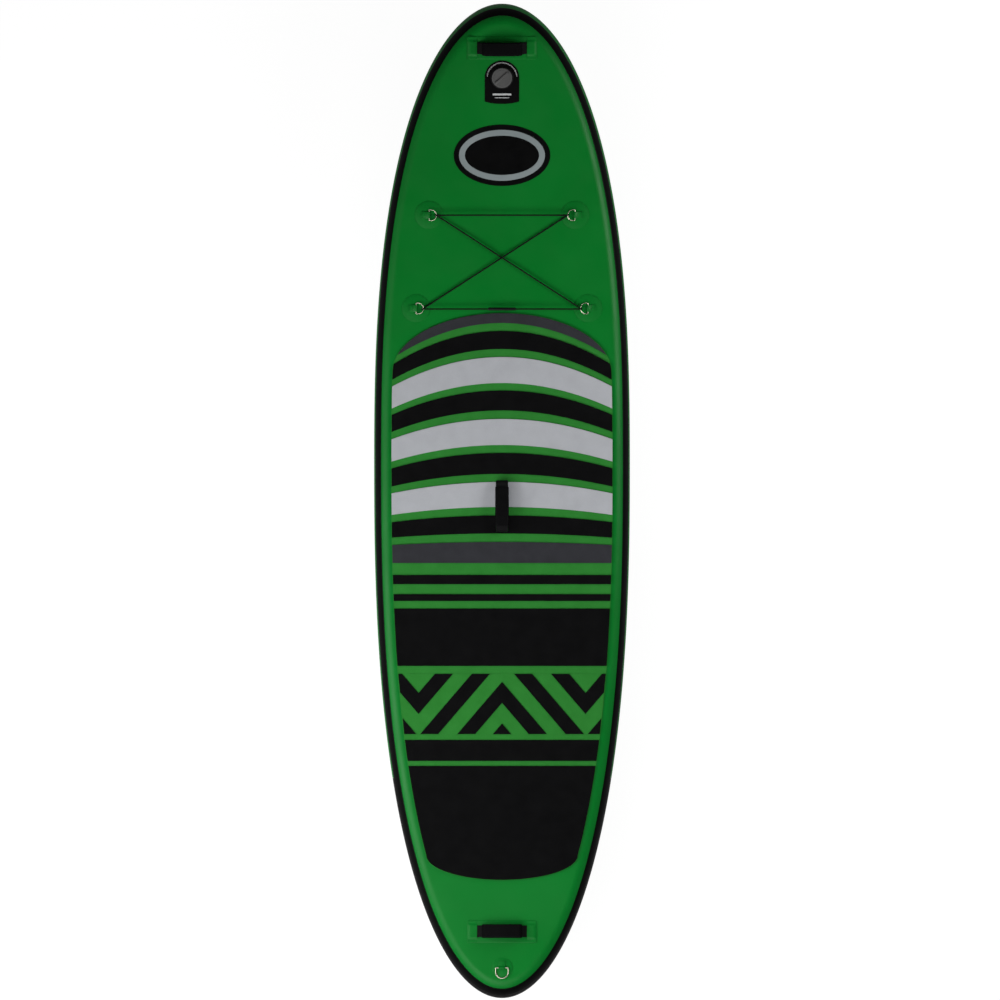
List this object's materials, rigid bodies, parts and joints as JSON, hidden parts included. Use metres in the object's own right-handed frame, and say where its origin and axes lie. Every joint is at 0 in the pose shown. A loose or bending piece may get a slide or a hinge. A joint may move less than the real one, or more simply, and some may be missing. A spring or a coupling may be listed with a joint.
{
  "type": "inflatable stand-up paddle board",
  "caption": "Inflatable stand-up paddle board with raised nose, striped foam deck pad, three grab handles, bungee tie-down, inflation valve, leash ring and fin box with a removable centre fin.",
  "frame": {"origin": "centre of the bounding box at its bottom: in the board's middle line, half way along it, at the level of the centre fin's tip", "axes": "+Z square to the flat part of the deck, upwards; +Y towards the nose; +X to the board's right"},
  "size_m": [0.824, 3.2037, 0.4886],
  "materials": {
    "pvc_green": "satin",
    "pvc_black": "satin",
    "foam_green": "matte",
    "foam_black": "matte",
    "foam_pale": "matte",
    "foam_dark": "matte",
    "webbing": "matte",
    "yarn": "matte",
    "plastic_black": "satin",
    "cap_grey": "satin",
    "rubber_black": "matte",
    "steel": "polished",
    "brass": "satin"
  },
  "bodies": {
    "board": {"deck_skin": "pvc_green", "hull_skin": "pvc_green", "rail_band_green": "pvc_green", "rail_band_black": "pvc_black", "deck_seam_tape": "pvc_black", "hull_seam_tape": "pvc_black", "drop_stitch_core": "yarn", "pad_base": "foam_green", "pad_cap": "foam_dark", "pad_arch_black_1": "foam_black", "pad_arch_black_2": "foam_black", "pad_arch_black_3": "foam_black", "pad_arch_black_4": "foam_black", "pad_arch_pale_1": "foam_pale", "pad_arch_pale_2": "foam_pale", "pad_arch_pale_3": "foam_pale", "pad_dark_band": "foam_dark", "pad_bar_1": "foam_black", "pad_bar_2": "foam_black", "pad_bar_3": "foam_black", "pad_panel": "foam_black", "pad_chevrons": "foam_black", "tail_pad": "foam_black", "nose_badge": "pvc_black", "valve_plate": "plastic_black", "valve_body": "plastic_black", "valve_gasket": "rubber_black", "valve_nut": "plastic_black", "valve_spring": "steel", "nose_handle_patch": "pvc_green", "nose_handle_strap": "webbing", "centre_handle_strap": "webbing", "tail_handle_patch": "pvc_green", "tail_handle_strap": "webbing", "front_left_ring_patch": "pvc_green", "front_right_ring_patch": "pvc_green", "rear_left_ring_patch": "pvc_green", "rear_right_ring_patch": "pvc_green", "bungee_cord": "webbing", "bungee_sleeve": "plastic_black", "leash_ring_patch": "pvc_green", "fin_box": "plastic_black", "left_side_fin": "plastic_black", "right_side_fin": "plastic_black"},
    "cap_seal": {"valve_cap_seal": "rubber_black"},
    "cap": {"valve_cap": "cap_grey"},
    "stem": {"valve_stem": "plastic_black"},
    "leash_d_ring": {"leash_ring": "steel"},
    "front_left_d_ring": {"front_left_ring": "steel"},
    "front_right_d_ring": {"front_right_ring": "steel"},
    "rear_left_d_ring": {"rear_left_ring": "steel"},
    "rear_right_d_ring": {"rear_right_ring": "steel"},
    "nose_grip": {"nose_handle_grip": "webbing"},
    "centre_grip": {"centre_handle_grip": "webbing"},
    "tail_grip": {"tail_handle_grip": "webbing"},
    "fin": {"centre_fin": "plastic_black", "fin_pin": "brass", "fin_nut_plate": "brass"},
    "thumb_screw": {"fin_screw": "brass"}
  },
  "joints": [
    {"name": "valve_cap_lift", "type": "slide", "parent": "board", "child": "cap_seal", "axis": [0, -0.1784, 0.984], "range_m": [0, 0.002]},
    {"name": "valve_cap_turn", "type": "hinge", "parent": "cap_seal", "child": "cap", "pos_m": [0, 1.3651, 0.43252], "axis": [0, -0.1784, 0.984], "range_deg": [0, 90]},
    {"name": "valve_stem_press", "type": "slide", "parent": "board", "child": "stem", "axis": [0, 0.1784, -0.984], "range_m": [0, 0.005], "stiffness_N_per_m": 400, "springref_m": -0.005, "deforming": ["valve_spring"]},
    {"name": "leash_ring_swing", "type": "hinge", "parent": "board", "child": "leash_d_ring", "pos_m": [0, -1.50314, 0.33177], "axis": [-1, 0, 0], "range_deg": [0, 175]},
    {"name": "front_left_ring_raise", "type": "hinge", "parent": "board", "child": "front_left_d_ring", "pos_m": [-0.2354, 0.92166, 0.37065], "axis": [0, -0.9932, -0.1165], "range_deg": [0, 35], "deforming": ["bungee_cord"]},
    {"name": "front_right_ring_raise", "type": "hinge", "parent": "board", "child": "front_right_d_ring", "pos_m": [0.2354, 0.92166, 0.37065], "axis": [0, 0.9932, 0.1165], "range_deg": [0, 35], "deforming": ["bungee_cord"]},
    {"name": "rear_left_ring_raise", "type": "hinge", "parent": "board", "child": "rear_left_d_ring", "pos_m": [-0.277, 0.62116, 0.34163], "axis": [0, -0.9972, -0.0745], "range_deg": [0, 35], "deforming": ["bungee_cord"]},
    {"name": "rear_right_ring_raise", "type": "hinge", "parent": "board", "child": "rear_right_d_ring", "pos_m": [0.277, 0.62116, 0.34163], "axis": [0, 0.9972, 0.0745], "range_deg": [0, 35], "deforming": ["bungee_cord"]},
    {"name": "nose_grip_lift", "type": "slide", "parent": "board", "child": "nose_grip", "axis": [0, -0.1986, 0.9801], "range_m": [0, 0.012], "deforming": ["nose_handle_strap"]},
    {"name": "centre_grip_lift", "type": "slide", "parent": "board", "child": "centre_grip", "axis": [0, 0, 1], "range_m": [0, 0.012], "deforming": ["centre_handle_strap"]},
    {"name": "tail_grip_lift", "type": "slide", "parent": "board", "child": "tail_grip", "axis": [0, 0.03, 0.9995], "range_m": [0, 0.012], "deforming": ["tail_handle_strap"]},
    {"name": "fin_slide", "type": "slide", "parent": "board", "child": "fin", "axis": [0, 1, 0], "range_m": [-0.025, 0.025]},
    {"name": "fin_screw_turn", "type": "hinge", "parent": "fin", "child": "thumb_screw", "pos_m": [0, -1.0575, 0.1671], "axis": [0, 0, 1], "range_deg": [0, 360]}
  ],
  "couplings": [
    {"joint": "valve_cap_lift", "follows": "valve_cap_turn", "m_per_rad": 0.001273}
  ]
}
